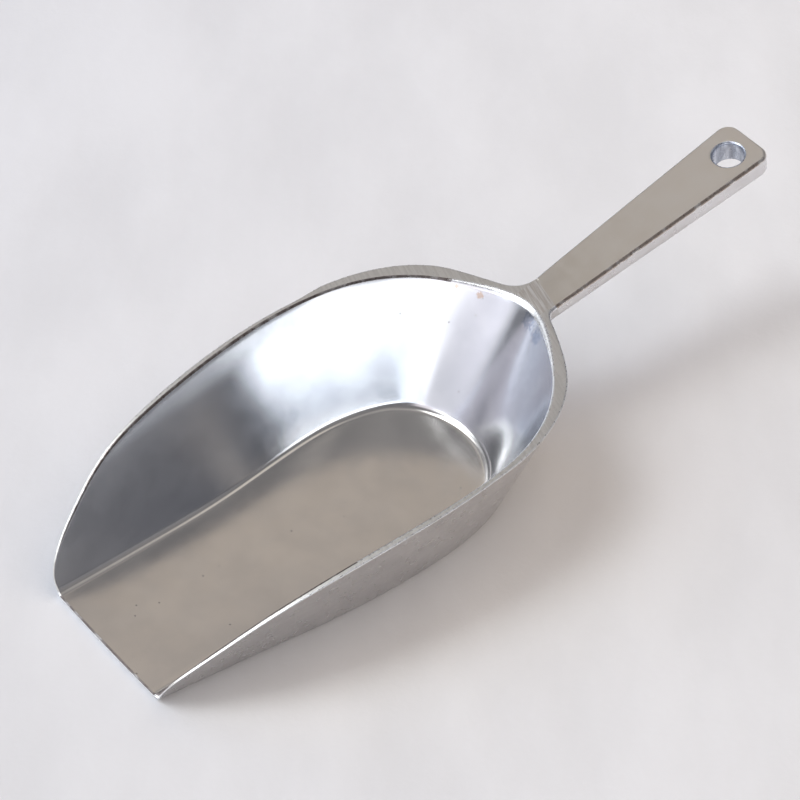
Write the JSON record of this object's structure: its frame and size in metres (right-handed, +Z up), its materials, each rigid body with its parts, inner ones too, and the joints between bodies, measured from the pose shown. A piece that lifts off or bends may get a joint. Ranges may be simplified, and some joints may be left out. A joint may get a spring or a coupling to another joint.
{
  "type": "ice scoop",
  "caption": "Flat-bottomed cast aluminium ice scoop: an open-fronted bowl with flared walls, and a flat tapered bar handle with a hanging hole.",
  "frame": {"origin": "on the surface that the scoop stands on, under the middle of its overall length, on its plane of symmetry", "axes": "+X from the lip of the bowl to the end of the handle, +Y to the left when looking along +X, +Z up"},
  "size_m": [0.2418, 0.0928, 0.0577],
  "materials": {
    "cast_aluminium": "tumbled as cast, satin, with a ground rim and a ground patch at the root of the handle"
  },
  "bodies": {
    "root": {"bowl": "cast_aluminium", "handle": "cast_aluminium"}
  },
  "joints": []
}
